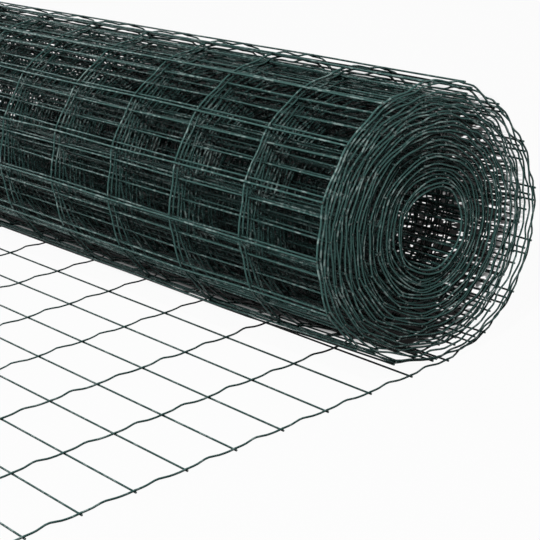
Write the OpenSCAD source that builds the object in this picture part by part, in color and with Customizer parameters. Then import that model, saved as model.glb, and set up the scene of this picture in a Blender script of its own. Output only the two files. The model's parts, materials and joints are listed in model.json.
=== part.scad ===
// Roll of welded wire fencing, lying on the floor with its outer end paid out flat.
// X runs along the roll's axis, Z is up, and the loose end runs out towards -Y.
// The origin is on the floor, in the middle of the whole part.

/* [Wire] */
// Diameter of the coated wire
wire_d = 1.8; // [1.4:0.1:2.6]
// How far two welded wires sink into each other where they cross
weld_sink = 0.4; // [0.2:0.1:0.6]

/* [Mesh] */
// Spacing of the line wires, across the mesh
cell_w = 100; // [50:5:150]
// Spacing of the cross wires, along the mesh
cell_l = 50; // [30:5:100]
// Cells across the width of the mesh
cells_across = 10; // [4:1:15]
// Length of each cross wire past the outermost line wire
stub = 1.4; // [1:0.2:10]
// Height of the crimp in each cell of a line wire
crimp_up = 2; // [1:0.25:4]
// Depth of the dip that follows the crimp
crimp_down = 0.3; // [0:0.1:1]

/* [Roll] */
// Diameter of the bore
bore_d = 74; // [50:1:150]
// Number of turns
turns = 27; // [8:1:40]
// How loosely each turn lies on the next one in
turn_slack = 0.5; // [0:0.1:3]
// Depth of the gaps between the turns, seen on the ends
turn_gap_depth = 6; // [2:0.5:12]
// Bevel on the edges of each turn
turn_bevel = 0.5; // [0.2:0.1:0.6]

/* [Loose end] */
// Number of cross wires that are off the roll
loose_cross_wires = 10; // [3:1:20]
// How far past the roll's axis the cross wire lies that the roll rests on
heel = 18.2; // [10:0.2:20]
// Length of line wire past the last cross wire
tail = 6; // [3:1:25]
// Gap between the roll and the ends of the line wires that run in under it
seat_gap = 0.3; // [0.1:0.1:0.6]

/* [Detail] */
// Sides of each cross wire
wire_sides = 6; // [6:4:10]

/* [Hidden] */
$fn = 180;
mesh_green = "darkgreen";

// The mesh from edge to edge, and with its stubs
mesh_w = cells_across * cell_w;
mesh_len_x = mesh_w + 2 * stub;

// Each turn's line wires lie on the cross wires of the next turn in
turn_pitch = 2 * wire_d - weld_sink + turn_slack;

// From the bore outwards: all the turns' line wires, then the outer turn's cross wires
bore_r = bore_d / 2;
ring_r = bore_r + (turns - 1) * turn_pitch + wire_d;
core_r = ring_r - wire_d + weld_sink;
bar_r = ring_r - weld_sink + wire_d / 2;

// A cross wire lies on one of its flats, and the line wires lie on top of it
cross_z = wire_d / 2 * cos(180 / wire_sides);
line_z = cross_z + wire_d - weld_sink;
line_top = line_z + wire_d / 2;

// The roll's axis is as high as it is when the roll rests on one cross wire of its outer turn
rest_angle = asin(heel / bar_r);
roll_z = cross_z + bar_r * cos(rest_angle);

// The outer turn's cross wires, as angles from straight below the axis, one cell apart along
// its line wires, up to where the mesh on the floor is in the way
bar_step = cell_l / (ring_r - wire_d / 2) * 180 / PI;
floor_angle = acos((roll_z - cross_z - line_top - seat_gap) / bar_r);
bar_angles = [for (a = [rest_angle : bar_step : 360 - floor_angle]) a];

// Where the underside of the roll is just clear of the mesh on the floor, from below the axis
cut_r = ring_r + seat_gap;
lift_off = sqrt(pow(cut_r, 2) - pow(roll_z - line_top, 2));

// The first cross wire off the roll is whole cells away from the one that the roll rests on
first_cross = ceil((lift_off + wire_d + heel) / cell_l) * cell_l - heel;
last_cross = first_cross + (loose_cross_wires - 1) * cell_l;
mesh_end = last_cross + tail;

// The whole part is centred on the origin, front to back
back = max(ring_r, max([for (a = bar_angles) bar_r * sin(a) + wire_d / 2]));
depth = back + mesh_end;
roll_y = depth / 2 - back;

// One cell of a line wire, as [part of the cell, height as a part of the crimp or of the dip]
CRIMP = [[0, 0], [0.2, 0.12], [0.42, 1], [0.66, 0.1], [0.82, -1]];

function crimp_height(part) = part > 0 ? part * crimp_up : part * crimp_down;

// The middle of a line wire, from past the last cross wire to in under the roll, as [y, z]
line_path = concat(
    [[-tail, line_z]],
    [for (cell = [0 : loose_cross_wires - 2], p = CRIMP)
        [(cell + p[0]) * cell_l, line_z + crimp_height(p[1])]],
    [[(loose_cross_wires - 1) * cell_l, line_z],
     [last_cross, line_z]]);

// The path with the wire's thickness above and below it
line_outline = concat(
    [for (p = line_path) [p[0], p[1] + wire_d / 2]],
    [for (i = [len(line_path) - 1 : -1 : 0]) [line_path[i][0], line_path[i][1] - wire_d / 2]]);

// One end of the roll's section: every turn stands up from the floor of the gaps, as [r, x]
function turn_edge(r, x) = [
    [r, x - turn_gap_depth],
    [r, x - turn_bevel],
    [r + turn_bevel, x],
    [r + wire_d - turn_bevel, x],
    [r + wire_d, x - turn_bevel],
    [r + wire_d, x - turn_gap_depth]];

// A line wire of the outer turn, standing out from the turns inside it
function line_ring(x) = [
    [core_r, x + wire_d / 2],
    [ring_r, x + wire_d / 2],
    [ring_r, x - wire_d / 2],
    [core_r, x - wire_d / 2]];

end_outline = concat(
    [for (t = [0 : turns - 1]) each turn_edge(bore_r + t * turn_pitch, mesh_len_x / 2)],
    [[core_r, mesh_len_x / 2 - turn_gap_depth]]);

roll_section = concat(
    end_outline,
    [for (w = [cells_across - 1 : -1 : 1]) each line_ring(w * cell_w - mesh_w / 2)],
    [for (i = [len(end_outline) - 1 : -1 : 0]) [end_outline[i][0], -end_outline[i][1]]]);

// All the turns as one turned solid, with the bore and the edge of every turn on both ends
module turns_and_bore() {
    translate([0, roll_y, roll_z])
        rotate([0, 90, 0])
            rotate_extrude() polygon(roll_section);
}

// The wound mesh, with its outer turn's cross wires welded on that turn's line wires
module wound_roll() {
    color(mesh_green) {
        turns_and_bore();
        for (a = bar_angles)
            translate([0, roll_y + bar_r * sin(a), roll_z - bar_r * cos(a) - cross_z])
                cross_wire();
    }
}

// A straight wire across the whole mesh
module cross_wire() {
    translate([-mesh_len_x / 2, 0, cross_z])
        rotate([0, 90, 0])
            rotate([0, 0, 180 / wire_sides])
                cylinder(d = wire_d, h = mesh_len_x, $fn = wire_sides);
}

// A crimped wire along the mesh, from its cut end towards the roll
module line_wire() {
    translate([-wire_d / 2, 0, 0])
        rotate([90, 0, 90])
            linear_extrude(wire_d) polygon(line_outline);
}

// The mesh that is off the roll, with its wires welded where they cross
module loose_end() {
    color(mesh_green)
        difference() {
            translate([0, roll_y - last_cross, 0]) {
                for (c = [0 : loose_cross_wires - 1])
                    translate([0, c * cell_l, 0]) cross_wire();
                for (w = [0 : cells_across])
                    translate([w * cell_w - mesh_w / 2, 0, 0]) line_wire();
            }
            translate([-mesh_len_x / 2, roll_y, roll_z])
                rotate([0, 90, 0]) cylinder(r = cut_r, h = mesh_len_x);
        }
}

wound_roll();
loose_end();
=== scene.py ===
"""Dresses a roll of welded wire fencing: every wire of the mesh, wound up and paid out on the floor."""
import json
import math

import bpy
import numpy as np
from bpy.props import FloatProperty, FloatVectorProperty, IntProperty, PointerProperty
from mathutils import Matrix, Vector


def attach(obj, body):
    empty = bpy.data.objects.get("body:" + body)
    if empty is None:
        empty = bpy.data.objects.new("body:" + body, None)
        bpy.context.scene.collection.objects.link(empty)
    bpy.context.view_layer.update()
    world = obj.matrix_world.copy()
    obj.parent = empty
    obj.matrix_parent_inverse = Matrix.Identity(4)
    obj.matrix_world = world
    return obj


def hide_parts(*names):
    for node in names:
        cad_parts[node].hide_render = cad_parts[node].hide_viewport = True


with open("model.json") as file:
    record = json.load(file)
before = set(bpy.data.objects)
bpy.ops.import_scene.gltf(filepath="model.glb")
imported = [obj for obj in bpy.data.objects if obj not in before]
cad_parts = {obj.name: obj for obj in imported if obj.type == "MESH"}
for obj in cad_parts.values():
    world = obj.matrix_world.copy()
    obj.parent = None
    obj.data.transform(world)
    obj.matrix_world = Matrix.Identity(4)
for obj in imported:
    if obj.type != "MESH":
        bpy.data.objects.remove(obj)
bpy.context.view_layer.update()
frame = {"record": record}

bl_info = {
    "name": "Welded Wire Roll",
    "version": (1, 0, 0),
    "blender": (4, 5, 0),
    "location": "View3D > Sidebar > Wire Roll",
    "description": "Builds a roll of coated welded wire fencing with its loose end on the floor",
    "category": "Object",
}

MM = 0.001
BODY = "root"
ROLL_NODE = "wound_roll"
LOOSE_NODE = "loose_end"
SEED = 31

# The roll's bore in the frame: its axis lies this high and this far back
BORE_MOUNT = next(m for m in frame["record"]["mounts"] if m["name"] == "bore")
BORE_Y, BORE_Z = BORE_MOUNT["pos_m"][1], BORE_MOUNT["pos_m"][2]

# The camera of the photograph: its place, the way it looks and how far it leans
CAMERA_PLACE = (1.44019, -0.75236, 0.55799)
CAMERA_HEADING = 141.59
CAMERA_DOWN = 19.10
CAMERA_LEAN = -4.16

# The outer turn seen on its end: how far its line wires lie from its axis, in mm, at angles in degrees
# from straight below, growing towards the back. It is loose, so it isn't round
OUTER_TURN = ((0, 129.6), (14, 130.0), (27, 131.8), (48, 133.4), (68, 133.7), (88, 133.4), (100, 131.6),
              (110, 129.4), (120, 127.4), (134, 126.0), (148, 126.2), (160, 127.4), (178, 128.6),
              (192, 129.4), (207, 131.4), (228, 133.0), (250, 133.6), (274, 133.8), (290, 133.0),
              (305, 129.6), (318, 126.2), (332, 123.4), (346, 122.6))

# Where turns lie loose from the next one in: turn, angle in degrees, spread in degrees, extra gap in mm
LOOSE_SPOTS = ((0, -4, 12, 3.6), (0, 60, 60, 0.6), (0, 250, 40, 0.6), (2, 56, 60, 6.0),
               (5, 200, 60, 1.2), (11, 60, 62, 4.6), (16, 70, 60, 1.4), (17, 200, 60, 1.2),
               (21, 70, 60, 1.2), (24, 250, 60, 1.0))

# Random waves of the gap between two turns, short and long: degrees from one value to the next, and the
# degrees past the outer turn over which they set in
GAP_WAVES = (34, 300)
GAP_WAVES_START = 60

# Degrees over which the outer turn leaves the height that it has on the floor
LIFT_OFF = 30

# Distance between the points of the line that the mesh follows on the floor
FLOOR_STEP = 2 * MM

# One cell of a line wire between two cross wires: part of the cell, height in mm away from the floor
FLOOR_CRIMP = ((0.0, 0.0), (0.2, 0.24), (0.42, 2.0), (0.66, 0.2), (0.82, -0.3), (1.0, 0.0))

# The same on the roll: part of the cell, height in mm away from the roll
ROLL_CRIMP = ((0.0, 0.0), (0.14, 0.9), (0.38, -2.1), (0.56, -0.3), (0.73, 1.4), (0.9, 0.5), (1.0, 0.0))

# How much of that crimp is left: distance from the axis in mm, part of the crimp
CRIMP_LEFT = ((40, 0.3), (75, 0.6), (100, 1.0), (135, 1.0))

# The same round the roll, where the rest of the wire runs straight from weld to weld: angle in degrees,
# part of the crimp
CRIMP_ROUND = ((0, 0.7), (25, 1.0), (150, 1.0), (185, 0.6), (215, 0.35), (280, 0.3), (310, 0.15),
               (345, 0.15), (360, 0.7))

# Least and greatest crimp of a cell, as a part of the table's
CRIMP_VARIES = (0.75, 1.2)

# Sideways wiggle of a line wire: its size in mm, and the points from one value to the next
WIGGLE, WIGGLE_EVERY = 0.5, 9

# How much wider the roll is towards its far end: angle in degrees, extra radius in mm of the outer turn
FAR_WIDER = ((0, 0), (130, 0), (165, 2.5), (215, 3.5), (260, 4.0), (300, 6.5), (338, 7.5), (354, 3.0),
             (360, 0))

# How that changes along the roll: place from -1 at the far end to 1 at the near end, part of the extra
# radius; and the turns over which it fades inwards
FAR_WIDER_ALONG = ((-1.0, 1.0), (0.6, 0.75), (1.0, 0.0))
FAR_WIDER_TURNS = 5

# How far a cross wire's slope and its curve vary, each as a part of the bow: along the mesh, and away
# from the roll
LEAN_ALONG, LEAN_OUTWARD = (0.5, 1), (0.4, 0.6)

# How much of the unevenness along the mesh is left on the floor, and of the one away from the roll
# where the turns hold each other
FLOOR_UNEVEN, OUTWARD_UNEVEN = 0.25, 0.6

# Cross wires from one value of the drift to the next, and over how many it sets in
DRIFT_EVERY, DRIFT_START = 7, 6

# The swelling of the coating at a weld: its height and its reach, as parts of the wire's radius
SWELL, SWELL_REACH = 0.13, 1.6

# Where a line wire has its points in a cell, as parts of the cell, at the near end and further off; and
# how many line wires belong to the near end
NEAR_LINE_STEPS = (0.0, 0.04, 0.14, 0.22, 0.3, 0.38, 0.46, 0.56, 0.66, 0.75, 0.85, 0.96)
FAR_LINE_STEPS = (0.0, 0.14, 0.26, 0.38, 0.56, 0.73, 0.9)
NEAR_LINE_WIRES = 3

# The same for a cross wire, and how many cross wires are on the roll's outer turns
CROSS_STEPS = (0.0, 0.04, 0.35, 0.65, 0.96)
OUTER_CROSS_WIRES = 48

# Sides of the wires at the near end, on the floor and on the outer turns, and of the rest
NEAR_SIDES, FAR_SIDES = 8, 6

# Each line wire has random values of its own, from this seed on
LINE_WIRE_SEED = SEED + 100


class MeshSizes(bpy.types.PropertyGroup):
    """Sizes of the welded mesh"""
    wire_d: FloatProperty(name="Wire diameter", description="Diameter of the coated wire",
                          default=1.8 * MM, unit="LENGTH")
    core_d: FloatProperty(name="Steel diameter", description="Diameter of the steel inside the coating",
                          default=1.4 * MM, unit="LENGTH")
    weld_sink: FloatProperty(name="Weld sink", description="How far two welded wires sink into each other",
                             default=0.4 * MM, unit="LENGTH")
    cell_w: FloatProperty(name="Cell width", description="Spacing of the line wires across the mesh",
                          default=100 * MM, unit="LENGTH")
    cell_l: FloatProperty(name="Cell length", description="Spacing of the cross wires along the mesh",
                          default=50 * MM, unit="LENGTH")
    cells_across: IntProperty(name="Cells across", description="Cells across the width of the mesh",
                              default=10)
    stub: FloatProperty(name="Stub", description="Length of a cross wire past the outermost line wire",
                        default=1.3 * MM, unit="LENGTH")
    crimp: FloatProperty(name="Crimp", description="Height of the crimps, as a part of their usual height",
                         default=1.0, subtype="FACTOR")
    loose_cross_wires: IntProperty(name="Loose cross wires", description="Cross wires that are off the roll",
                                   default=10)
    lead: FloatProperty(name="Lead", description="From the roll's axis to the nearest loose cross wire",
                        default=31.8 * MM, unit="LENGTH")
    under_roll: FloatProperty(name="First wire on the roll",
                              description="From the roll's axis to the outer turn's first cross wire",
                              default=13 * MM, unit="LENGTH")
    tail: FloatProperty(name="Tail", description="Length of line wire past the last cross wire",
                        default=5.5 * MM, unit="LENGTH")


class RollSizes(bpy.types.PropertyGroup):
    """Sizes of the wound roll"""
    turns: FloatProperty(name="Turns", description="Number of turns from the floor to the bore", default=28.7)
    start_r: FloatProperty(name="Outer radius", description="Mean radius where the outer turn begins",
                           default=134.0 * MM, unit="LENGTH")
    end_r: FloatProperty(name="Inner radius", description="Mean radius where the mesh ends in the bore",
                         default=38.0 * MM, unit="LENGTH")
    evening: FloatProperty(name="Evening out",
                           description="Part of a turn's looseness that the next one in keeps",
                           default=0.9, subtype="FACTOR")
    outer_rise: FloatProperty(name="Outer rise",
                              description="Height of the outer turn's middle over the bore's",
                              default=-3.15 * MM, unit="LENGTH")
    inner_rise: FloatProperty(name="Inner rise",
                              description="Height of the inner turn's middle over the bore's",
                              default=-4.2 * MM, unit="LENGTH")
    uneven: FloatProperty(name="Uneven", description="How far the gap between turns varies round the roll",
                          default=0.3 * MM, unit="LENGTH")
    slack: FloatProperty(name="Slack", description="How far a weld lies off its even place", default=0.5 * MM,
                         unit="LENGTH")
    hook: FloatProperty(name="Hook", description="How far the wires' inner ends are bent into the bore",
                        default=4 * MM, unit="LENGTH")
    drift: FloatProperty(name="Drift", description="How far the turns wander along the roll's axis",
                         default=1.8 * MM, unit="LENGTH")
    bow: FloatProperty(name="Bow", description="How far a cross wire bows over its length", default=0.9 * MM,
                       unit="LENGTH")


class WireFinish(bpy.types.PropertyGroup):
    """Colours and gloss of the coating and of the cut steel"""
    coating: FloatVectorProperty(name="Coating", description="Colour of the plastic coating", subtype="COLOR",
                                 default=(0.0440, 0.0980, 0.0900), min=0, max=1)
    coating_rubbed_highlight: FloatVectorProperty(name="Coating, rubbed highlight", description="Colour of the rubbed dashes, a painted highlight",
                                       subtype="COLOR", default=(0.220, 0.295, 0.282), min=0, max=1)
    gloss_roughness: FloatProperty(name="Roughness", description="Roughness of the clean coating",
                                   default=0.22, subtype="FACTOR")
    steel: FloatVectorProperty(name="Steel", description="Colour of the cut steel", subtype="COLOR",
                               default=(0.10, 0.11, 0.105), min=0, max=1)


class StageLook(bpy.types.PropertyGroup):
    """Camera, lamps and floor"""
    floor_size: FloatProperty(name="Floor", description="Width of the floor", default=40, unit="LENGTH")
    lens: FloatProperty(name="Lens", description="Focal length for a 36 mm sensor, in mm", default=105.68)
    world_strength: FloatProperty(name="World", description="Strength of the even light all round",
                                  default=0.012)


def sizes():
    """The sizes of the mesh and of the roll that the scene is set to."""
    scene = bpy.context.scene
    return scene.wire_mesh_sizes, scene.wire_roll_sizes


def smooth_through(x, y, at):
    """A cubic curve through points, with slopes from their neighbours."""
    slope = np.gradient(y, x)
    i = np.clip(np.searchsorted(x, at, side="right") - 1, 0, len(x) - 2)
    h = x[i + 1] - x[i]
    t = (at - x[i]) / h
    return ((2 * t ** 3 - 3 * t ** 2 + 1) * y[i] + (t ** 3 - 2 * t ** 2 + t) * h * slope[i]
            + (3 * t ** 2 - 2 * t ** 3) * y[i + 1] + (t ** 3 - t ** 2) * h * slope[i + 1])


def loose_gap(angle):
    """Extra gap, in metres, between the turn at this running angle and the next one in."""
    gap = np.zeros_like(angle)
    for turn, at, spread, extra in LOOSE_SPOTS:
        gap += extra * MM * np.exp(-((angle - turn * 360 - at) / spread) ** 2)
    return gap


def turn_radii(roll):
    """Running angles in degrees and the radius of the line wires there, from the floor to the bore."""
    angle = np.arange(0, round(roll.turns * 360) + 1, dtype=float)
    per_turn = (roll.start_r - roll.end_r) / roll.turns
    mean = roll.start_r - per_turn * angle / 360
    off = np.zeros_like(angle)
    outer = [(a, r * MM - roll.start_r + per_turn * a / 360) for a, r in OUTER_TURN]
    start = outer[0][1]
    outer.append((360, start * roll.evening - loose_gap(np.zeros(1))[0]))
    a = np.array([p[0] for p in outer], float)
    v = np.array([p[1] for p in outer], float)
    off[:361] = smooth_through(a, v, angle[:361])
    gap = loose_gap(angle)
    rng = np.random.default_rng(SEED)
    wave = sum(smooth_noise(rng, len(angle), every) for every in GAP_WAVES)
    wave *= roll.uneven * (1 - np.exp(-np.maximum(angle - 360, 0) / GAP_WAVES_START))
    for i in range(361, len(angle)):
        off[i] = off[i - 360] * roll.evening - gap[i - 360] + wave[i]
    return angle, mean + off


class MeshPath:
    """The line that every line wire follows, seen from the side: along the floor, then round the roll.

    A place on it is the distance s along the line past the point right below the roll's axis.
    """

    def __init__(self, mesh, roll):
        wire_r = mesh.wire_d / 2
        self.rise = mesh.wire_d - mesh.weld_sink
        angle, radius = turn_radii(roll)
        axis_z = BORE_Z + np.interp(angle, (0, angle[-1]), (roll.outer_rise, roll.inner_rise))
        floor_z = wire_r + self.rise
        turn = np.radians(angle)
        y = BORE_Y + radius * np.sin(turn)
        z = axis_z - radius * np.cos(turn)
        z += (floor_z - z[0]) * np.exp(-angle / LIFT_OFF)
        reach = mesh.lead + (mesh.loose_cross_wires - 1) * mesh.cell_l + mesh.tail
        floor_y = np.arange(-reach, -FLOOR_STEP / 2, FLOOR_STEP)
        y = np.concatenate([BORE_Y + floor_y, y])
        z = np.concatenate([np.full(len(floor_y), floor_z), z])
        step = np.hypot(np.diff(y), np.diff(z))
        self.s = np.concatenate([[0.0], np.cumsum(step)]) - reach
        self.y, self.z = y, z
        ty, tz = np.gradient(y, self.s), np.gradient(z, self.s)
        long = np.hypot(ty, tz)
        self.ty, self.tz = ty / long, tz / long
        self.end = self.s[-1]

    def place(self, s):
        """Points (y, z), directions along the line and outward normals at the distances s."""
        y, z = np.interp(s, self.s, self.y), np.interp(s, self.s, self.z)
        ty, tz = np.interp(s, self.s, self.ty), np.interp(s, self.s, self.tz)
        long = np.hypot(ty, tz)
        ty, tz = ty / long, tz / long
        return np.stack([y, z], -1), np.stack([ty, tz], -1), np.stack([tz, -ty], -1)


def random_lean(rng, rows, across, spread):
    """A random slope and a random bow across the mesh for each row, with the given spreads."""
    slope, bow = spread
    return rng.normal(0, slope, (rows, 1)) * across + rng.normal(0, bow, (rows, 1)) * (1 - across ** 2)


class Weave:
    """Where the wires of the whole mesh cross: a row for each cross wire, a column for each line wire."""

    def __init__(self, mesh, roll):
        self.mesh, self.roll = mesh, roll
        self.path = MeshPath(mesh, roll)
        rng = np.random.default_rng(SEED)
        loose = -mesh.lead - mesh.cell_l * np.arange(mesh.loose_cross_wires - 1, -1, -1)
        wound = np.arange(mesh.under_roll, self.path.end - mesh.tail, mesh.cell_l)
        self.s = np.concatenate([loose, wound])
        self.loose_count = len(loose)
        self.x = (np.arange(mesh.cells_across + 1) - mesh.cells_across / 2) * mesh.cell_w
        rows, cols = len(self.s), len(self.x)
        half = self.x[-1]
        across = self.x / half
        wound_row = np.arange(rows) >= self.loose_count
        free = np.where(wound_row, 1.0, FLOOR_UNEVEN)[:, None]
        lean = random_lean(rng, rows, across, LEAN_ALONG)
        slack = free * roll.slack * rng.normal(0, 1, (rows, cols))
        self.along = self.s[:, None] + free * roll.bow * lean + slack
        lean = random_lean(rng, rows, across, LEAN_OUTWARD)
        lift = roll.bow * lean + roll.slack * rng.normal(0, 1, (rows, cols))
        round_once = 2 * math.pi * roll.start_r
        lift = np.where(self.s[:, None] < round_once, -np.abs(lift), lift) * OUTWARD_UNEVEN
        turns_in = np.maximum(self.s, 0) / round_once
        bare, _, _ = self.path.place(self.along)
        angle = np.degrees(np.arctan2(bare[..., 0] - BORE_Y, BORE_Z - bare[..., 1])) % 360
        place, left = np.array(FAR_WIDER_ALONG).T
        wider = from_table(FAR_WIDER, angle) * np.interp(self.x, half * place, left)
        lift = lift + wider * MM * np.exp(-turns_in / FAR_WIDER_TURNS)[:, None]
        self.outward = np.where(wound_row[:, None], lift, 0.0)
        wound_count = np.maximum(np.arange(rows) - self.loose_count, 0)
        set_in = 1 - np.exp(-(wound_count / DRIFT_START) ** 2)
        self.shift = roll.drift * smooth_noise(rng, rows, DRIFT_EVERY) * set_in
        point, along, out = self.path.place(self.along)
        self.out, self.dir = out, along
        self.line = point + out * self.outward[..., None]
        self.cross = self.line + out * self.path.rise


def tube_rings(points, radii, sides, frame_a):
    """Rings of vertices round a line of points. frame_a is the direction of each ring's first vertex."""
    tangent = np.gradient(points, axis=0)
    tangent /= np.linalg.norm(tangent, axis=1, keepdims=True)
    a = frame_a - tangent * (frame_a * tangent).sum(1, keepdims=True)
    a /= np.linalg.norm(a, axis=1, keepdims=True)
    b = np.cross(tangent, a)
    turn = 2 * math.pi * (np.arange(sides) + 0.5) / sides
    ring = np.cos(turn)[None, :, None] * a[:, None] + np.sin(turn)[None, :, None] * b[:, None]
    return points[:, None] + ring * radii[:, None, None]


class WireBuilder:
    """Collects wires as tubes with cut ends, and makes them one mesh."""

    def __init__(self, sides, core_part):
        self.sides, self.core_part = sides, core_part
        self.verts, self.quads, self.caps = [], [], []
        self.count = 0

    def add(self, points, radii, frame_a):
        """One wire along the points, with its steel showing at both cut ends."""
        n = self.sides
        rings = tube_rings(points, radii, n, frame_a)
        first = points[0] + (rings[0] - points[0]) * self.core_part
        last = points[-1] + (rings[-1] - points[-1]) * self.core_part
        self.verts.append(np.concatenate([rings.reshape(-1, 3), first, last]))
        base, m = self.count, len(points)
        i = np.arange(m - 1)[:, None] * n
        j = np.arange(n)[None, :]
        k = (j + 1) % n
        quads = np.stack([base + i + j, base + i + k, base + i + n + k, base + i + n + j], -1)
        self.quads.append(quads.reshape(-1, 4))
        j = np.arange(n)
        k = (j + 1) % n
        core_a, core_b, end = base + m * n, base + (m + 1) * n, base + (m - 1) * n
        self.quads.append(np.stack([base + k, base + j, core_a + j, core_a + k], -1))
        self.quads.append(np.stack([end + j, end + k, core_b + k, core_b + j], -1))
        self.caps.append(core_a + j[::-1])
        self.caps.append(core_b + j)
        self.count += (m + 2) * n

    def make(self, name, materials):
        """The mesh object of all the wires so far. Its second material is on the cut steel."""
        verts = np.concatenate(self.verts)
        quads = np.concatenate(self.quads)
        caps = np.array(self.caps)
        n = self.sides
        mesh = bpy.data.meshes.new(name)
        mesh.vertices.add(len(verts))
        mesh.vertices.foreach_set("co", verts.astype(np.float32).ravel())
        loops = np.concatenate([quads.ravel(), caps.ravel()])
        mesh.loops.add(len(loops))
        mesh.loops.foreach_set("vertex_index", loops.astype(np.int32))
        starts = np.concatenate([np.arange(len(quads)) * 4, len(quads) * 4 + np.arange(len(caps)) * n])
        mesh.polygons.add(len(starts))
        mesh.polygons.foreach_set("loop_start", starts.astype(np.int32))
        flat = np.arange(len(starts)) >= len(quads)
        mesh.polygons.foreach_set("material_index", flat.astype(np.int32))
        mesh.update(calc_edges=True)
        mesh.validate()
        mesh.shade_smooth()
        mesh.polygons.foreach_set("use_smooth", ~flat)
        for material in materials:
            mesh.materials.append(material)
        obj = bpy.data.objects.new(name, mesh)
        bpy.context.scene.collection.objects.link(obj)
        return obj


def weld_swell(t, wire_r):
    """Radius of a wire t metres from a weld, where the coating has run into the corner."""
    return wire_r * (1 + SWELL * np.exp(-(t / (SWELL_REACH * wire_r)) ** 2))


def line_wire_points(weave, column, parts):
    """The middle of one line wire, through welds and crimps, and its distance from the nearest weld."""
    mesh = weave.mesh
    rng = np.random.default_rng(LINE_WIRE_SEED + column)
    p, d, out = weave.line[:, column], weave.dir[:, column], weave.out[:, column]
    chord = np.linalg.norm(np.diff(p, axis=0), axis=1)
    t = np.array(parts)
    along = weave.along[:-1, column, None] * (1 - t) + weave.along[1:, column, None] * t
    curve, _, away = weave.path.place(along)
    ease = t * t * (3 - 2 * t)
    off = weave.outward[:-1, column, None] * (1 - ease) + weave.outward[1:, column, None] * ease
    wound = (np.arange(len(chord)) >= weave.loose_count - 1)[:, None]
    centre = np.array([BORE_Y, BORE_Z])
    middle = (p[:-1] + p[1:]) / 2 - centre
    apart = np.linalg.norm(middle, axis=1)
    left = from_table(CRIMP_LEFT, apart / MM)
    round_it = from_table(CRIMP_ROUND, np.degrees(np.arctan2(middle[:, 0], -middle[:, 1])) % 360)
    # A wire that runs straight from weld to weld lies this far inside the round line, in mm
    straight = -mesh.cell_l ** 2 / (8 * apart) / MM * left * (1 - round_it)
    crimp = np.where(wound, from_curve(ROLL_CRIMP, t) * (left * round_it)[:, None]
                     + (4 * t * (1 - t)) * straight[:, None], -from_curve(FLOOR_CRIMP, t))
    off = off + crimp * MM * mesh.crimp * rng.uniform(*CRIMP_VARIES, (len(chord), 1))
    curve = curve + away * off[..., None]
    near = np.minimum(t, 1 - t)[None, :] * chord[:, None]
    body = curve.reshape(-1, 2)
    gaps = near.ravel()
    first = p[0] - d[0] * mesh.tail
    last = p[-1] + d[-1] * mesh.tail - out[-1] * weave.roll.hook
    yz = np.concatenate([first[None], body, p[-1:], last[None]])
    gaps = np.concatenate([[mesh.tail], gaps, [0.0], [mesh.tail]])
    shift = weave.shift[:-1, None] * (1 - t) + weave.shift[1:, None] * t
    shift = np.concatenate([weave.shift[:1], shift.ravel(), weave.shift[-1:], weave.shift[-1:]])
    x = weave.x[column] + shift + smooth_noise(rng, len(yz), WIGGLE_EVERY) * WIGGLE * MM
    return np.column_stack([x, yz]), gaps


def from_table(table, at):
    """Values on the straight lines between the points of a table."""
    return np.interp(at, [p[0] for p in table], [p[1] for p in table])


def from_curve(table, at):
    """Values on a smooth curve through the points of a table."""
    return smooth_through(np.array([p[0] for p in table]), np.array([p[1] for p in table]), at)


def smooth_noise(rng, count, every):
    """Smooth random values between about -1 and 1, one new value for each few steps."""
    knots = rng.uniform(-1, 1, count // every + 3)
    return smooth_through(np.arange(len(knots), dtype=float), knots, np.arange(count) / every)


def cross_wire_points(weave, row, steps):
    """The middle of one cross wire, from stub to stub, and its distance from the nearest weld."""
    mesh = weave.mesh
    half = weave.x[-1] + mesh.stub
    knots = np.concatenate([[-half], weave.x, [half]])
    yz = weave.cross[row]
    first = yz[0] + (yz[0] - yz[1]) * mesh.stub / mesh.cell_w
    last = yz[-1] + (yz[-1] - yz[-2]) * mesh.stub / mesh.cell_w
    yz = np.concatenate([first[None], yz, last[None]])
    x = [-half, -half + mesh.stub * 0.5]
    for a, b in zip(weave.x[:-1], weave.x[1:]):
        x.extend(a + (b - a) * s for s in steps)
    x.extend([weave.x[-1], half - mesh.stub * 0.5, half])
    x = np.array(x)
    y = smooth_through(knots, yz[:, 0], x)
    z = smooth_through(knots, yz[:, 1], x)
    near = np.abs(x[:, None] - weave.x[None, :]).min(1)
    return np.column_stack([x + weave.shift[row], y, z]), near


# The coating's noises: scale, detail, roughness
PATCHES, STREAKS, GRAIN = (38, 3, 0.6), (200, 2, 0.5), (900, 2, 0.5)

# Patches times streaks where the rubbed dashes start and where they are full, and how much rougher they are
# there;
# then how strongly they show. Their lighter colour is a painted highlight, and their extra roughness is wear
RUBBED_HIGHLIGHT_FROM, RUBBED_HIGHLIGHT_FULL = 0.27, 0.36
RUBBED_ROUGHER = 0.22
RUBBING_AND_HIGHLIGHT = 0.8

# Painted shade: the coating's colour is darkened where it lies deep among other wires: how near, in metres, a
# wire has to be to count, and how steeply it darkens
PAINTED_SHADE_REACH, PAINTED_SHADE_POWER = 0.08, 8.0


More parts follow.
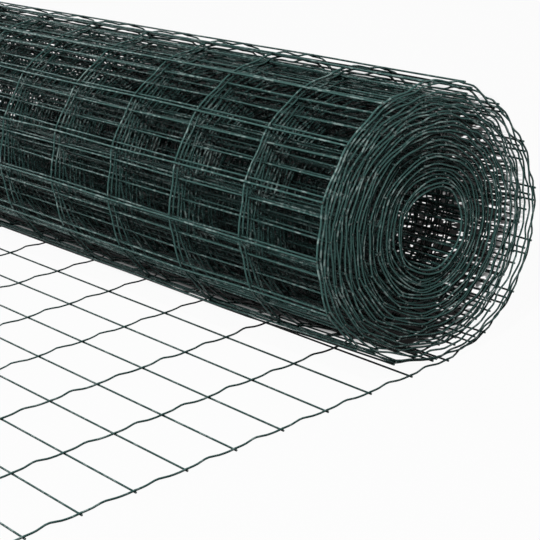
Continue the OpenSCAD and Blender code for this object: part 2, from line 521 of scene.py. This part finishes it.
def coating_group():
    """Node group: the colour, roughness and relief of extruded plastic that has been handled, with painted
    highlights as lighter rubbed dashes.
    """
    group = bpy.data.node_groups.new("Handled Coating", "ShaderNodeTree")
    face = group.interface
    for name, kind, value in (("Clean Color", "NodeSocketColor", (0.01, 0.04, 0.03, 1)),
                              ("Rubbed Color", "NodeSocketColor", (0.03, 0.08, 0.07, 1)),
                              ("Roughness", "NodeSocketFloat", 0.35),
                              ("Rubbing", "NodeSocketFloat", 0.4),
                              ("Grain Scale", "NodeSocketFloat", 900.0)):
        socket = face.new_socket(name, in_out="INPUT", socket_type=kind)
        socket.default_value = value
    for name, kind in (("Color", "NodeSocketColor"), ("Roughness", "NodeSocketFloat"),
                       ("Height", "NodeSocketFloat")):
        face.new_socket(name, in_out="OUTPUT", socket_type=kind)
    nodes, links = group.nodes, group.links
    into, out = nodes.new("NodeGroupInput"), nodes.new("NodeGroupOutput")
    place = nodes.new("ShaderNodeTexCoord")

    def noise(scale, detail, rough):
        node = nodes.new("ShaderNodeTexNoise")
        node.inputs["Scale"].default_value = scale
        node.inputs["Detail"].default_value = detail
        node.inputs["Roughness"].default_value = rough
        links.new(place.outputs["Object"], node.inputs["Vector"])
        return node

    patches, streaks, grain = noise(*PATCHES), noise(*STREAKS), noise(*GRAIN)
    links.new(into.outputs["Grain Scale"], grain.inputs["Scale"])
    both = nodes.new("ShaderNodeMath")
    both.operation = "MULTIPLY"
    links.new(patches.outputs["Fac"], both.inputs[0])
    links.new(streaks.outputs["Fac"], both.inputs[1])
    # Rubbed dashes: their lighter colour is a painted highlight, their extra roughness is wear
    worn_and_highlit = nodes.new("ShaderNodeMapRange")
    worn_and_highlit.inputs["From Min"].default_value = RUBBED_HIGHLIGHT_FROM
    worn_and_highlit.inputs["From Max"].default_value = RUBBED_HIGHLIGHT_FULL
    links.new(both.outputs[0], worn_and_highlit.inputs["Value"])
    wear_and_highlight = nodes.new("ShaderNodeMath")
    wear_and_highlight.operation = "MULTIPLY"
    links.new(worn_and_highlit.outputs["Result"], wear_and_highlight.inputs[0])
    links.new(into.outputs["Rubbing"], wear_and_highlight.inputs[1])
    mix = nodes.new("ShaderNodeMix")
    mix.data_type = "RGBA"
    links.new(wear_and_highlight.outputs[0], mix.inputs["Factor"])
    links.new(into.outputs["Clean Color"], mix.inputs["A"])
    links.new(into.outputs["Rubbed Color"], mix.inputs["B"])
    links.new(mix.outputs["Result"], out.inputs["Color"])
    rough = nodes.new("ShaderNodeMath")
    rough.operation = "MULTIPLY_ADD"
    rough.inputs[1].default_value = RUBBED_ROUGHER
    links.new(wear_and_highlight.outputs[0], rough.inputs[0])
    links.new(into.outputs["Roughness"], rough.inputs[2])
    links.new(rough.outputs[0], out.inputs["Roughness"])
    height = nodes.new("ShaderNodeMath")
    height.operation = "ADD"
    links.new(streaks.outputs["Fac"], height.inputs[0])
    links.new(grain.outputs["Fac"], height.inputs[1])
    links.new(height.outputs[0], out.inputs["Height"])
    return group


def new_material(name):
    """An empty node material, with its shader and output."""
    material = bpy.data.materials.new(name)
    material.use_nodes = True
    nodes, links = material.node_tree.nodes, material.node_tree.links
    nodes.clear()
    shader = nodes.new("ShaderNodeBsdfPrincipled")
    out = nodes.new("ShaderNodeOutputMaterial")
    links.new(shader.outputs["BSDF"], out.inputs["Surface"])
    return material, nodes, links, shader, out


def coating_material(finish):
    """Dark green plastic, drawn over the wire, with a soft gloss, painted highlights in lighter dashes and
    painted shade deep among other wires.
    """
    found = bpy.data.materials.get("Green Coating")
    if found:
        return found
    material, nodes, links, shader, _ = new_material("Green Coating")
    group = nodes.new("ShaderNodeGroup")
    group.node_tree = coating_group()
    group.inputs["Clean Color"].default_value = (*finish.coating, 1)
    # The rubbed colour is a painted highlight on the coating
    group.inputs["Rubbed Color"].default_value = (*finish.coating_rubbed_highlight, 1)
    group.inputs["Roughness"].default_value = finish.gloss_roughness
    group.inputs["Rubbing"].default_value = RUBBING_AND_HIGHLIGHT
    group.inputs["Grain Scale"].default_value = GRAIN[0]
    bump = nodes.new("ShaderNodeBump")
    bump.inputs["Strength"].default_value = 0.35
    bump.inputs["Distance"].default_value = 0.06 * MM
    # Painted shade: the colour is multiplied by ambient occlusion raised to a power, darker deep among other
    # wires
    open_to = nodes.new("ShaderNodeAmbientOcclusion")
    open_to.samples = 2
    open_to.inputs["Distance"].default_value = PAINTED_SHADE_REACH
    painted_shade = nodes.new("ShaderNodeMath")
    painted_shade.operation = "POWER"
    painted_shade.inputs[1].default_value = PAINTED_SHADE_POWER
    links.new(open_to.outputs["AO"], painted_shade.inputs[0])
    shade = nodes.new("ShaderNodeMix")
    shade.data_type = "RGBA"
    shade.blend_type = "MULTIPLY"
    shade.inputs["Factor"].default_value = 1.0
    links.new(group.outputs["Color"], shade.inputs["A"])
    links.new(painted_shade.outputs[0], shade.inputs["B"])
    links.new(shade.outputs["Result"], shader.inputs["Base Color"])
    links.new(group.outputs["Roughness"], shader.inputs["Roughness"])
    links.new(group.outputs["Height"], bump.inputs["Height"])
    links.new(bump.outputs["Normal"], shader.inputs["Normal"])
    shader.inputs["IOR"].default_value = 1.5
    shader.inputs["Specular IOR Level"].default_value = 0.03
    return material


def steel_material(finish):
    """Bare drawn steel, where the wire was cut."""
    found = bpy.data.materials.get("Cut Steel")
    if found:
        return found
    material, nodes, links, shader, _ = new_material("Cut Steel")
    place = nodes.new("ShaderNodeTexCoord")
    noise = nodes.new("ShaderNodeTexNoise")
    noise.inputs["Scale"].default_value = 1400
    links.new(place.outputs["Object"], noise.inputs["Vector"])
    ramp = nodes.new("ShaderNodeMapRange")
    ramp.inputs["To Min"].default_value = 0.28
    ramp.inputs["To Max"].default_value = 0.5
    links.new(noise.outputs["Fac"], ramp.inputs["Value"])
    links.new(ramp.outputs["Result"], shader.inputs["Roughness"])
    shader.inputs["Base Color"].default_value = (*finish.steel, 1)
    shader.inputs["Metallic"].default_value = 1.0
    return material


def settle(obj, *nodes):
    """Makes a piece part of the frame, standing for the CAD nodes that it dresses."""
    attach(obj, BODY)
    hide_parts(*nodes)


class WIREROLL_OT_line_wires(bpy.types.Operator):
    """Make the line wires, each in one piece from the loose end round the roll to the bore"""
    bl_idname = "wireroll.line_wires"
    bl_label = "Line Wires"

    def execute(self, context):
        mesh, roll = sizes()
        weave = Weave(mesh, roll)
        finish = context.scene.wire_finish
        materials = (coating_material(finish), steel_material(finish))
        last = mesh.cells_across
        for column in range(mesh.cells_across + 1):
            near = column > last - NEAR_LINE_WIRES
            points, gaps = line_wire_points(weave, column, NEAR_LINE_STEPS if near else FAR_LINE_STEPS)
            builder = WireBuilder(NEAR_SIDES if near else FAR_SIDES, mesh.core_d / mesh.wire_d)
            radii = weld_swell(gaps, mesh.wire_d / 2)
            builder.add(points, radii, np.tile([1.0, 0, 0], (len(points), 1)))
            obj = builder.make(f"line_wire_{last - column + 1:02d}", materials)
            settle(obj, ROLL_NODE, LOOSE_NODE)
        return {"FINISHED"}


class WIREROLL_OT_cross_wires(bpy.types.Operator):
    """Make the cross wires, welded across the line wires, in groups from the loose end inwards"""
    bl_idname = "wireroll.cross_wires"
    bl_label = "Cross Wires"

    def execute(self, context):
        mesh, roll = sizes()
        weave = Weave(mesh, roll)
        finish = context.scene.wire_finish
        materials = (coating_material(finish), steel_material(finish))
        loose = weave.loose_count
        inner = loose + OUTER_CROSS_WIRES
        groups = (("cross_wires_loose", range(loose), NEAR_SIDES, LOOSE_NODE),
                  ("cross_wires_outer_turns", range(loose, inner), NEAR_SIDES, ROLL_NODE),
                  ("cross_wires_inner_turns", range(inner, len(weave.s)), FAR_SIDES, ROLL_NODE))
        for name, members, sides, node in groups:
            builder = WireBuilder(sides, mesh.core_d / mesh.wire_d)
            for row in members:
                points, gaps = cross_wire_points(weave, row, CROSS_STEPS)
                out = weave.out[row].mean(0)
                frame_a = np.tile([0.0, out[0], out[1]], (len(points), 1))
                builder.add(points, weld_swell(gaps, mesh.wire_d / 2), frame_a)
            settle(builder.make(name, materials), node)
        return {"FINISHED"}


class WIREROLL_OT_stage(bpy.types.Operator):
    """Make the floor, the lamps, the even light all round and the camera"""
    bl_idname = "wireroll.stage"
    bl_label = "Stage"

    def execute(self, context):
        look = context.scene.wire_stage_look
        make_floor(look)
        make_lamps()
        make_world(look)
        make_camera(look)
        context.scene.view_settings.view_transform = "Standard"
        return {"FINISHED"}


def sees_white(nodes, links):
    """A mask that is 1 for every ray that should see the background as plain white."""
    path = nodes.new("ShaderNodeLightPath")
    most = nodes.new("ShaderNodeMath")
    most.operation = "MAXIMUM"
    links.new(path.outputs["Is Camera Ray"], most.inputs[0])
    links.new(path.outputs["Is Glossy Ray"], most.inputs[1])
    every = nodes.new("ShaderNodeMath")
    every.operation = "MAXIMUM"
    links.new(most.outputs[0], every.inputs[0])
    links.new(path.outputs["Is Transmission Ray"], every.inputs[1])
    return every.outputs[0]


# The painted shadow on the floor: a dark area in the floor's seen colour under and behind the roll, in metres
# along x and back from the roll's axis. Its outline was chosen to cover the floor that the photograph's
# camera sees through the mesh.
# Here: how far back it reaches at places along the roll, and how soft that edge is
SHADOW_BACK = ((-1.3, 0.86), (-0.32, 0.85), (0.0, 0.625), (0.215, 0.425), (0.35, 0.245), (0.47, 0.05))
SHADOW_SOFT = 0.03

# Where it starts and is full at the front; along which part of the roll, and how far, that moves back
# towards the near end; and where it starts and is full at the back
SHADOW_FRONT = (-0.038, -0.012)
FRONT_MOVES_AT, FRONT_MOVES = (0.2, 0.5), 0.03
SHADOW_FADE = (0.83, 0.73)

# Its far end: where it starts and is full, and how far that slants for each metre back; then over what
# length its near tip starts, and how much of the floor's light it takes away
SHADOW_END, SHADOW_SLANT = (-0.57, -0.47), 0.55
SHADOW_TIP = 0.03
SHADOW_DEPTH = 0.99

# Painted light between the wires breaks the painted shadow's edge up into flecks: flecks in a metre, the
# middle of their noise, and how far they reach in for each unit of noise above that
FLECKS, FLECK_MIDDLE, FLECK_REACH = 90.0, 0.5, 0.5

# Painted flecks of light in the painted shadow, where the photograph's camera sees through the bore: their
# middle, their half length and half width, and their direction in degrees; then their soft edge as parts of
# that size, the noise above its middle from which they start and are full, and how bright they are
BORE_LIGHT, BORE_LIGHT_SIZE = (0.215, 0.282), (0.15, 0.05)
BORE_LIGHT_WAY = 135
BORE_LIGHT_EDGE = (1.1, 0.7)
BORE_LIGHT_FLECKS = (0.06, 0.1)
BORE_LIGHT_STRENGTH = 0.9

# How much of the floor's look is its own even light, for the rays that see it as white
FLOOR_GLOW = 0.96

# Lamps: name, place, size and power in watts
LAMPS = (("key", (1.5, -1.4, 1.9), 0.22, 84),
         ("left", (-1.9, -0.7, 1.2), 0.3, 26),
         ("back", (-0.8, 2.4, 1.6), 0.5, 4))
LAMPS_AIM = (0, 0, 0.1)


def floor_glow_with_painted_shadow(nodes, links):
    """How bright the floor is seen: white, with a painted shadow under and behind the roll and painted flecks
    of light in it.
    """
    def step(value, start, full):
        node = nodes.new("ShaderNodeMapRange")
        node.interpolation_type = "SMOOTHSTEP"
        node.inputs["From Min"].default_value = start
        node.inputs["From Max"].default_value = full
        links.new(value, node.inputs["Value"])
        return node.outputs["Result"]

    def maths(operation, first, second):
        node = nodes.new("ShaderNodeMath")
        node.operation = operation
        for socket, value in zip(node.inputs, (first, second)):
            if isinstance(value, float):
                socket.default_value = value
            else:
                links.new(value, socket)
        return node.outputs[0]

    place = nodes.new("ShaderNodeNewGeometry")
    apart = nodes.new("ShaderNodeSeparateXYZ")
    links.new(place.outputs["Position"], apart.inputs["Vector"])
    x, y = apart.outputs["X"], apart.outputs["Y"]
    first, last = SHADOW_BACK[0][0], SHADOW_BACK[-1][0]
    edge = nodes.new("ShaderNodeFloatCurve")
    curve = edge.mapping.curves[0]
    points = [((at - first) / (last - first), back) for at, back in SHADOW_BACK]
    for point, spot in zip(curve.points, (points[0], points[-1])):
        point.location = spot
    for spot in points[1:-1]:
        curve.points.new(*spot)
    edge.mapping.update()
    links.new(maths("DIVIDE", maths("SUBTRACT", x, first), last - first), edge.inputs["Value"])
    fleck = nodes.new("ShaderNodeTexNoise")
    fleck.inputs["Scale"].default_value = FLECKS
    fleck.inputs["Detail"].default_value = 1.0
    links.new(place.outputs["Position"], fleck.inputs["Vector"])
    light = maths("SUBTRACT", fleck.outputs["Fac"], FLECK_MIDDLE)
    past_edge = maths("SUBTRACT", maths("SUBTRACT", y, BORE_Y), edge.outputs[0])
    past_edge = maths("ADD", past_edge, maths("MULTIPLY", maths("MAXIMUM", light, 0.0), FLECK_REACH))
    far_end = maths("ADD", x, maths("MULTIPLY", maths("SUBTRACT", y, BORE_Y), SHADOW_SLANT))
    front = maths("SUBTRACT", y, maths("MULTIPLY", step(x, *FRONT_MOVES_AT), FRONT_MOVES))
    spot = nodes.new("ShaderNodeMapping")
    spot.vector_type = "TEXTURE"
    spot.inputs["Location"].default_value = (BORE_LIGHT[0], BORE_Y + BORE_LIGHT[1], 0)
    spot.inputs["Rotation"].default_value = (0, 0, math.radians(BORE_LIGHT_WAY))
    spot.inputs["Scale"].default_value = (*BORE_LIGHT_SIZE, 1)
    links.new(place.outputs["Position"], spot.inputs["Vector"])
    off_spot = nodes.new("ShaderNodeVectorMath")
    off_spot.operation = "LENGTH"
    links.new(spot.outputs["Vector"], off_spot.inputs[0])
    # The painted shadow: 1 where the floor is painted dark, with a soft, flecked edge
    dark = step(past_edge, SHADOW_SOFT, -SHADOW_SOFT)
    # Painted flecks of light that lift the painted shadow behind the bore
    in_spot = step(off_spot.outputs["Value"], *BORE_LIGHT_EDGE)
    spot_light = maths("MULTIPLY", in_spot, step(light, *BORE_LIGHT_FLECKS))
    spot_dark = maths("SUBTRACT", 1.0, maths("MULTIPLY", spot_light, BORE_LIGHT_STRENGTH))
    for part in (step(front, *(BORE_Y + back for back in SHADOW_FRONT)),
                 step(y, *(BORE_Y + back for back in SHADOW_FADE)),
                 step(far_end, *SHADOW_END), step(x, last, last - SHADOW_TIP), spot_dark):
        dark = maths("MULTIPLY", dark, part)
    return maths("SUBTRACT", 1.0, maths("MULTIPLY", dark, SHADOW_DEPTH))


def make_floor(look):
    """A pale floor that reads as white, with a painted shadow under and behind the roll."""
    half = look.floor_size / 2
    mesh = bpy.data.meshes.new("floor")
    corners = [(-half, -half, 0), (half, -half, 0), (half, half, 0), (-half, half, 0)]
    mesh.from_pydata(corners, [], [(0, 1, 2, 3)])
    floor = bpy.data.objects.new("floor", mesh)
    bpy.context.scene.collection.objects.link(floor)
    material, nodes, links, shader, out = new_material("Pale Floor")
    shader.inputs["Base Color"].default_value = (0.35, 0.35, 0.35, 1)
    shader.inputs["Roughness"].default_value = 0.9
    shader.inputs["Specular IOR Level"].default_value = 0.1
    glow = nodes.new("ShaderNodeEmission")
    glow.inputs["Color"].default_value = (1, 1, 1, 1)
    links.new(floor_glow_with_painted_shadow(nodes, links), glow.inputs["Strength"])
    part = nodes.new("ShaderNodeMath")
    part.operation = "MULTIPLY"
    part.inputs[1].default_value = FLOOR_GLOW
    links.new(sees_white(nodes, links), part.inputs[0])
    mix = nodes.new("ShaderNodeMixShader")
    links.new(part.outputs[0], mix.inputs["Fac"])
    links.new(shader.outputs["BSDF"], mix.inputs[1])
    links.new(glow.outputs["Emission"], mix.inputs[2])
    links.new(mix.outputs["Shader"], out.inputs["Surface"])
    mesh.materials.append(material)


def make_lamps():
    """A small bright lamp over the near end, and weaker ones to the left and behind."""
    for name, place, size, power in LAMPS:
        data = bpy.data.lights.new(name, "AREA")
        data.shape, data.size, data.energy = "DISK", size, power
        lamp = bpy.data.objects.new(name, data)
        lamp.location = place
        lamp.rotation_mode = "QUATERNION"
        lamp.rotation_quaternion = (Vector(LAMPS_AIM) - Vector(place)).to_track_quat("-Z", "Y")
        bpy.context.scene.collection.objects.link(lamp)


def make_world(look):
    """Even light all round, seen as plain white."""
    world = bpy.data.worlds.new("plain white")
    world.use_nodes = True
    nodes, links = world.node_tree.nodes, world.node_tree.links
    nodes.clear()
    out = nodes.new("ShaderNodeOutputWorld")
    background = nodes.new("ShaderNodeBackground")
    background.inputs["Color"].default_value = (1, 1, 1, 1)
    strength = nodes.new("ShaderNodeMapRange")
    strength.inputs["To Min"].default_value = look.world_strength
    strength.inputs["To Max"].default_value = 1.0
    links.new(sees_white(nodes, links), strength.inputs["Value"])
    links.new(strength.outputs["Result"], background.inputs["Strength"])
    links.new(background.outputs["Background"], out.inputs["Surface"])
    bpy.context.scene.world = world


def make_camera(look):
    """The camera, at the photograph's viewing angle."""
    data = bpy.data.cameras.new("camera")
    data.lens, data.sensor_width = look.lens, 36.0
    data.clip_start, data.clip_end = 0.05, 100
    camera = bpy.data.objects.new("camera", data)
    heading, down, lean = (math.radians(v) for v in (CAMERA_HEADING, CAMERA_DOWN, CAMERA_LEAN))
    ahead = Vector((math.cos(heading), math.sin(heading), 0))
    forward = ahead * math.cos(down) - Vector((0, 0, math.sin(down)))
    right = Vector((math.sin(heading), -math.cos(heading), 0))
    up = right.cross(forward)
    leant_right = right * math.cos(lean) + up * math.sin(lean)
    leant_up = up * math.cos(lean) - right * math.sin(lean)
    turn = Matrix((leant_right, leant_up, -forward)).transposed()
    camera.matrix_world = Matrix.Translation(CAMERA_PLACE) @ turn.to_4x4()
    bpy.context.scene.collection.objects.link(camera)
    bpy.context.scene.camera = camera


class WIREROLL_PT_panel(bpy.types.Panel):
    """The wire roll's sizes, finish and steps"""
    bl_idname = "WIREROLL_PT_panel"
    bl_label = "Wire Roll"
    bl_space_type = "VIEW_3D"
    bl_region_type = "UI"
    bl_category = "Wire Roll"

    def draw(self, context):
        layout = self.layout
        scene = context.scene
        for group in (scene.wire_mesh_sizes, scene.wire_roll_sizes, scene.wire_finish, scene.wire_stage_look):
            box = layout.box()
            for prop in group.__annotations__:
                box.prop(group, prop)
        for step in STEPS:
            layout.operator(step)


STEPS = ("wireroll.line_wires", "wireroll.cross_wires", "wireroll.stage")
GROUPS = (("wire_mesh_sizes", MeshSizes), ("wire_roll_sizes", RollSizes), ("wire_finish", WireFinish),
          ("wire_stage_look", StageLook))
CLASSES = (MeshSizes, RollSizes, WireFinish, StageLook, WIREROLL_OT_line_wires, WIREROLL_OT_cross_wires,
           WIREROLL_OT_stage, WIREROLL_PT_panel)


def register():
    for cls in CLASSES:
        bpy.utils.register_class(cls)
    for name, group in GROUPS:
        setattr(bpy.types.Scene, name, PointerProperty(type=group))


def unregister():
    for name, _ in GROUPS:
        delattr(bpy.types.Scene, name)
    for cls in reversed(CLASSES):
        bpy.utils.unregister_class(cls)


def main():
    register()
    bpy.ops.wireroll.line_wires()
    bpy.ops.wireroll.cross_wires()
    bpy.ops.wireroll.stage()


if __name__ == "__main__":
    main()
